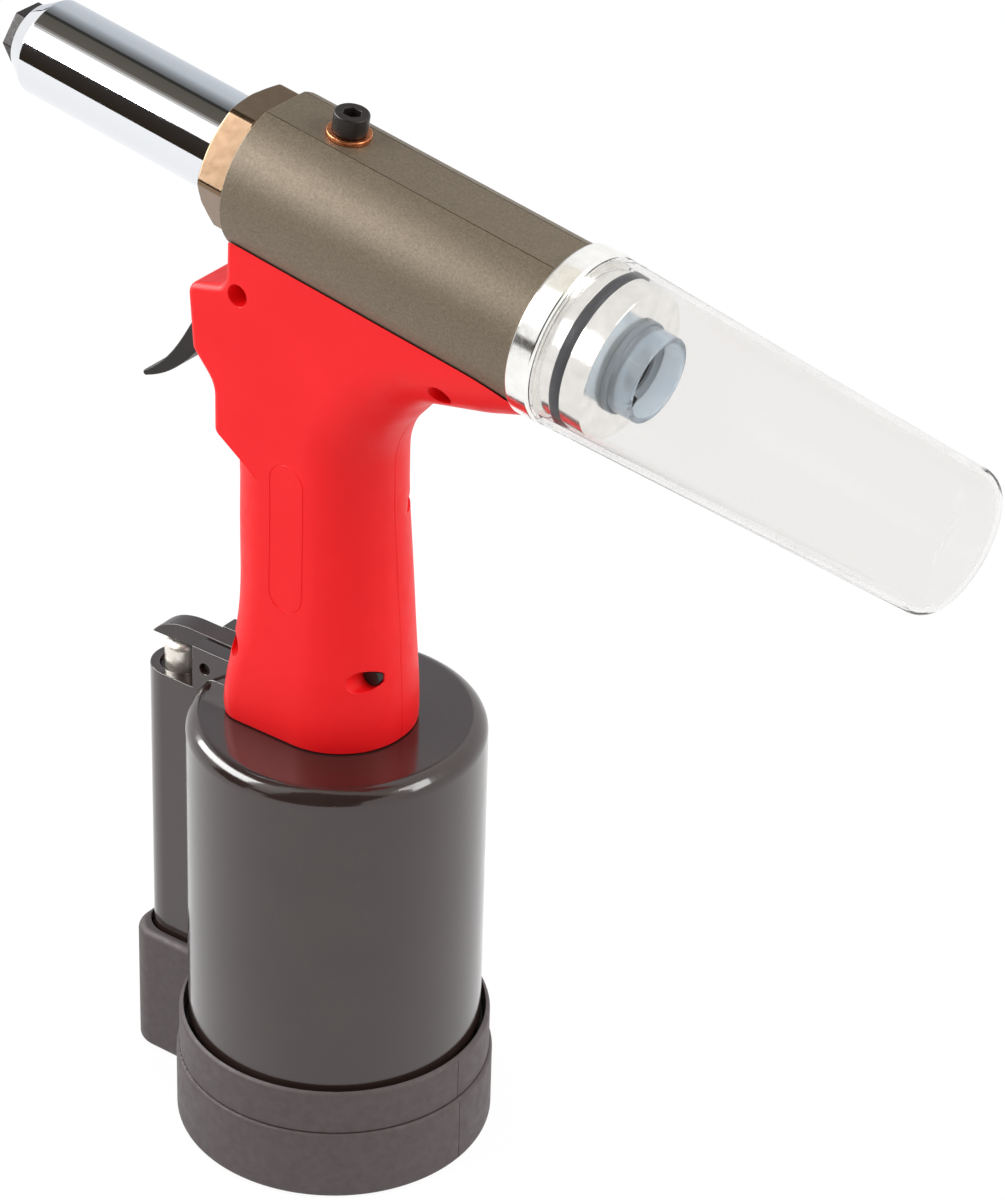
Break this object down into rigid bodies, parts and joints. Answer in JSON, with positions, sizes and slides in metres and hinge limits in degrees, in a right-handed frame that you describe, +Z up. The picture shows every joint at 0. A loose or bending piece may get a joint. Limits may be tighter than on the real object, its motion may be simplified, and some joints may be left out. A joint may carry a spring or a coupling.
{
  "type": "pneumatic riveter",
  "caption": "Air-hydraulic blind riveter: upright air cylinder in a rubber boot, moulded pistol grip, tilted pulling head with chromed nose and a clear mandrel collector.",
  "frame": {"origin": "middle of the rubber boot's base on the floor, on the air cylinder's axis", "axes": "+Z up along the air cylinder, -X the way the nose points, -Y the tool's left side"},
  "size_m": [0.2726, 0.0814, 0.2853],
  "materials": {
    "red_shell": "moulded, fine satin texture",
    "black_casting": "gloss black enamel over a casting",
    "boot_rubber": "matt moulded rubber",
    "head_casting": "hard anodised, blasted, grey-brown",
    "chrome": "polished chrome plate",
    "nut_bronze": "satin with a bronze tint",
    "cap_aluminium": "turned and polished",
    "black_steel": "black oxide",
    "copper": "copper sealing washer",
    "clear_plastic": "clear moulded plastic",
    "guide_plastic": "blue-grey moulded plastic",
    "seal_rubber": "black nitrile",
    "bright_steel": "ground steel",
    "spring_steel": "spring wire",
    "trigger_metal": "dark brown-black, satin",
    "bearing_brass": "turned brass"
  },
  "bodies": {
    "casing": {"nosepiece": "black_steel", "front_sleeve": "chrome", "lock_nut": "nut_bronze", "head_frame": "head_casting", "oil_plug_washer": "copper", "oil_plug_screw": "black_steel", "rod_gland": "bearing_brass", "rod_seal": "seal_rubber", "rear_cap": "cap_aluminium", "collector_o_ring": "seal_rubber", "mandrel_guide": "guide_plastic", "shell_screws": "black_steel", "trigger_pin": "bright_steel", "lever_pin": "black_steel", "valve_guide": "black_steel", "valve_spring": "spring_steel", "valve_plug": "bearing_brass", "valve_plug_o_ring": "seal_rubber", "air_inlet": "bearing_brass", "air_cylinder": "black_casting", "boot": "boot_rubber", "end_cap": "cap_aluminium", "end_cap_o_ring": "seal_rubber", "circlip": "spring_steel", "bumper_ring": "seal_rubber", "ram_gland": "bearing_brass", "ram_seal": "seal_rubber", "cylinder_nut": "bright_steel", "handle_shell_left": "red_shell", "handle_shell_right": "red_shell"},
    "pull": {"hydraulic_piston": "bright_steel", "hydraulic_piston_seal": "seal_rubber", "jaw_case": "bright_steel", "jaw_spring": "spring_steel", "return_spring": "spring_steel"},
    "jaw_set": {"jaws": "black_steel", "jaw_pusher": "bright_steel"},
    "ram": {"ram_rod": "bright_steel", "air_piston": "cap_aluminium", "air_piston_seal": "seal_rubber", "piston_nut": "bright_steel"},
    "trigger": {"trigger": "trigger_metal"},
    "trigger_rod": {"trigger_rod": "bright_steel"},
    "lever": {"lever": "black_steel"},
    "valve": {"valve_stem": "bright_steel", "valve_seal": "seal_rubber"},
    "collector": {"collector_bottle": "clear_plastic"}
  },
  "joints": [
    {"name": "ram_lift", "type": "slide", "parent": "casing", "child": "ram", "axis": [0, 0, 1], "range_m": [0, 0.0729]},
    {"name": "pull_stroke", "type": "slide", "parent": "casing", "child": "pull", "axis": [0.9872, 0, -0.1593], "range_m": [0, 0.0151], "stiffness_N_per_m": 2500, "springref_m": -0.006, "deforming": ["return_spring"]},
    {"name": "jaw_grip", "type": "slide", "parent": "pull", "child": "jaw_set", "axis": [-0.9872, 0, 0.1593], "range_m": [0, 0.00125], "deforming": ["jaw_spring"]},
    {"name": "trigger_pull", "type": "hinge", "parent": "casing", "child": "trigger", "pos_m": [-0.027, 0, 0.224], "axis": [0, -1, 0], "range_deg": [0, 16], "stiffness_Nm_per_rad": 0.02, "springref_deg": -20.05},
    {"name": "rod_lift", "type": "slide", "parent": "casing", "child": "trigger_rod", "axis": [0, 0, 1], "range_m": [0, 0.00346]},
    {"name": "lever_tilt", "type": "hinge", "parent": "casing", "child": "lever", "pos_m": [-0.0356, 0, 0.1224], "axis": [0, -1, 0], "range_deg": [0, 9.8]},
    {"name": "valve_press", "type": "slide", "parent": "casing", "child": "valve", "axis": [0, 0, -1], "range_m": [0, 0.0027], "stiffness_N_per_m": 60, "springref_m": -0.003, "deforming": ["valve_spring"]},
    {"name": "collector_pull", "type": "slide", "parent": "casing", "child": "collector", "axis": [0.9872, 0, -0.1593], "range_m": [0, 0.03]}
  ],
  "couplings": [
    {"joint": "pull_stroke", "follows": "ram_lift", "ratio": 0.20578},
    {"joint": "jaw_grip", "follows": "ram_lift", "ratio": 0.01646},
    {"joint": "trigger_pull", "follows": "rod_lift", "rad_per_m": 80.645},
    {"joint": "lever_tilt", "follows": "rod_lift", "rad_per_m": 48.387},
    {"joint": "valve_press", "follows": "rod_lift", "ratio": 0.7508}
  ]
}
